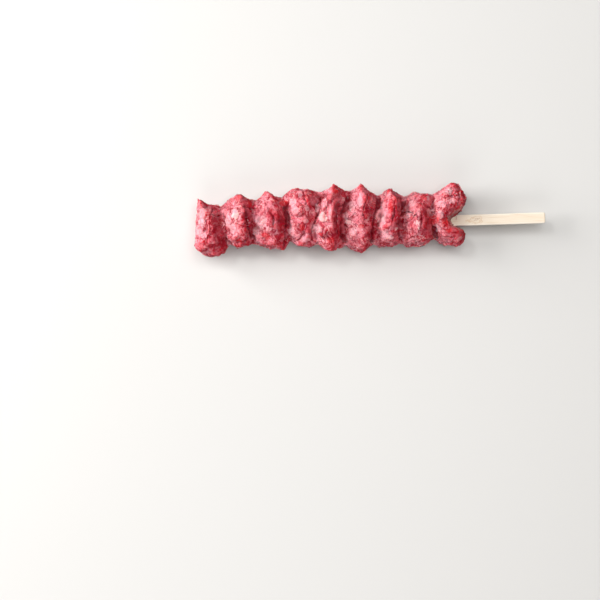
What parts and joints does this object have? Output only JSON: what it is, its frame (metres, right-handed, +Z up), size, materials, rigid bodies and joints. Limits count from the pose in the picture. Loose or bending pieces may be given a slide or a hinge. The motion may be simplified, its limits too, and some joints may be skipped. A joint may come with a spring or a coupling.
{
  "type": "kofta skewer",
  "caption": "Raw kofta skewer: minced meat squeezed by hand round a flat wooden stick, with ridges and furrows left by the fingers and the bare end of the stick as its grip.",
  "frame": {"origin": "bottom centre of the bounding box, on the surface that the skewer lies on", "axes": "+X along the stick from the meat's tip to the stick's bare end, +Y the far side with the taller ridges, +Z up"},
  "size_m": [0.256, 0.051, 0.0318],
  "materials": {
    "mince": null,
    "birch": "bare pale wood, sanded, unvarnished"
  },
  "bodies": {
    "root": {"meat": "mince", "stick": "birch"}
  },
  "joints": []
}
